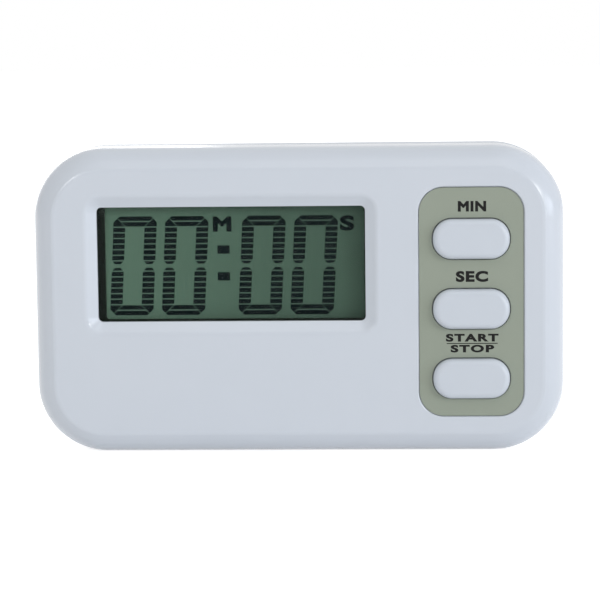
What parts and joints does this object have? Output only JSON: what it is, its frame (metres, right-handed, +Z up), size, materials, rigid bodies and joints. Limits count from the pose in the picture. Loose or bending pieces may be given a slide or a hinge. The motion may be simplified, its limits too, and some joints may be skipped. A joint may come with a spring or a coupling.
{
  "type": "kitchen timer",
  "caption": "Digital kitchen timer: white rounded case, liquid crystal display, push keys beside it, fold-out stand, magnets and battery door on the back.",
  "frame": {"origin": "on the surface that the timer stands on, under the middle of its width and depth", "axes": "+X to the right as the display is read, +Y from front to back, +Z up"},
  "size_m": [0.076, 0.0166, 0.044],
  "materials": {
    "case_white": "white ABS, semi-gloss",
    "key_white": "white ABS, satin",
    "panel_grey": "grey-green printed sheet",
    "clear_pane": "clear acrylic",
    "gasket_black": "black foam gasket",
    "polariser_film": "grey-green polarising film",
    "display_glass": "thin soda-lime glass",
    "reflector_green": "diffuse reflector film",
    "zebra_rubber": "striped silicone",
    "foam_black": "black foam",
    "silicone": "grey silicone",
    "carbon_rubber": "carbon-filled rubber",
    "board_green": "green solder mask",
    "epoxy_black": "black epoxy",
    "crystal_can": "bright metal can",
    "chip_dark": "dark chip bodies with tinned ends",
    "screw_steel": "zinc-plated steel",
    "buzzer_brass": "bright brass",
    "buzzer_ceramic": "silvered ceramic",
    "wire_black": "black insulation",
    "wire_red": "red insulation",
    "cell_sleeve": "plain printed sleeve",
    "contact_nickel": "nickel-plated steel",
    "ferrite": "dark ferrite"
  },
  "bodies": {
    "case": {"front_housing": "case_white", "rear_housing": "case_white", "button_panel": "panel_grey", "display_window": "clear_pane", "lcd_gasket": "gasket_black", "front_polariser": "polariser_film", "lcd_front_glass": "display_glass", "lcd_rear_glass": "display_glass", "rear_polariser": "reflector_green", "zebra_strip": "zebra_rubber", "lcd_foam_pad": "foam_black", "keypad_sheet": "silicone", "minutes_dome": "silicone", "seconds_dome": "silicone", "start_stop_dome": "silicone", "circuit_board": "board_green", "controller_blob": "epoxy_black", "quartz_crystal": "crystal_can", "chip_components": "chip_dark", "board_screws": "screw_steel", "buzzer_disc": "buzzer_brass", "buzzer_ceramic": "buzzer_ceramic", "buzzer_wires": "wire_black", "battery_cell": "cell_sleeve", "negative_contact": "contact_nickel", "negative_spring": "contact_nickel", "positive_contact": "contact_nickel", "positive_lead": "wire_red", "negative_lead": "wire_black", "magnets": "ferrite", "case_screws": "screw_steel"},
    "minutes_key": {"minutes_button": "key_white", "minutes_pill": "carbon_rubber"},
    "seconds_key": {"seconds_button": "key_white", "seconds_pill": "carbon_rubber"},
    "start_stop_key": {"start_stop_button": "key_white", "start_stop_pill": "carbon_rubber"},
    "door": {"battery_door": "case_white"},
    "stand": {"stand": "case_white"}
  },
  "joints": [
    {"name": "minutes_press", "type": "slide", "parent": "case", "child": "minutes_key", "axis": [0, 1, 0], "range_m": [0, 0.0008], "stiffness_N_per_m": 600, "springref_m": -0.0005, "deforming": ["minutes_dome"]},
    {"name": "seconds_press", "type": "slide", "parent": "case", "child": "seconds_key", "axis": [0, 1, 0], "range_m": [0, 0.0008], "stiffness_N_per_m": 600, "springref_m": -0.0005, "deforming": ["seconds_dome"]},
    {"name": "start_stop_press", "type": "slide", "parent": "case", "child": "start_stop_key", "axis": [0, 1, 0], "range_m": [0, 0.0008], "stiffness_N_per_m": 600, "springref_m": -0.0005, "deforming": ["start_stop_dome"]},
    {"name": "door_slide", "type": "slide", "parent": "case", "child": "door", "axis": [0, 0, -1], "range_m": [0, 0.0145]},
    {"name": "stand_hinge", "type": "hinge", "parent": "case", "child": "stand", "pos_m": [-0.00955, 0.0061, 0.0192], "axis": [-1, 0, 0], "range_deg": [0, 115]}
  ]
}
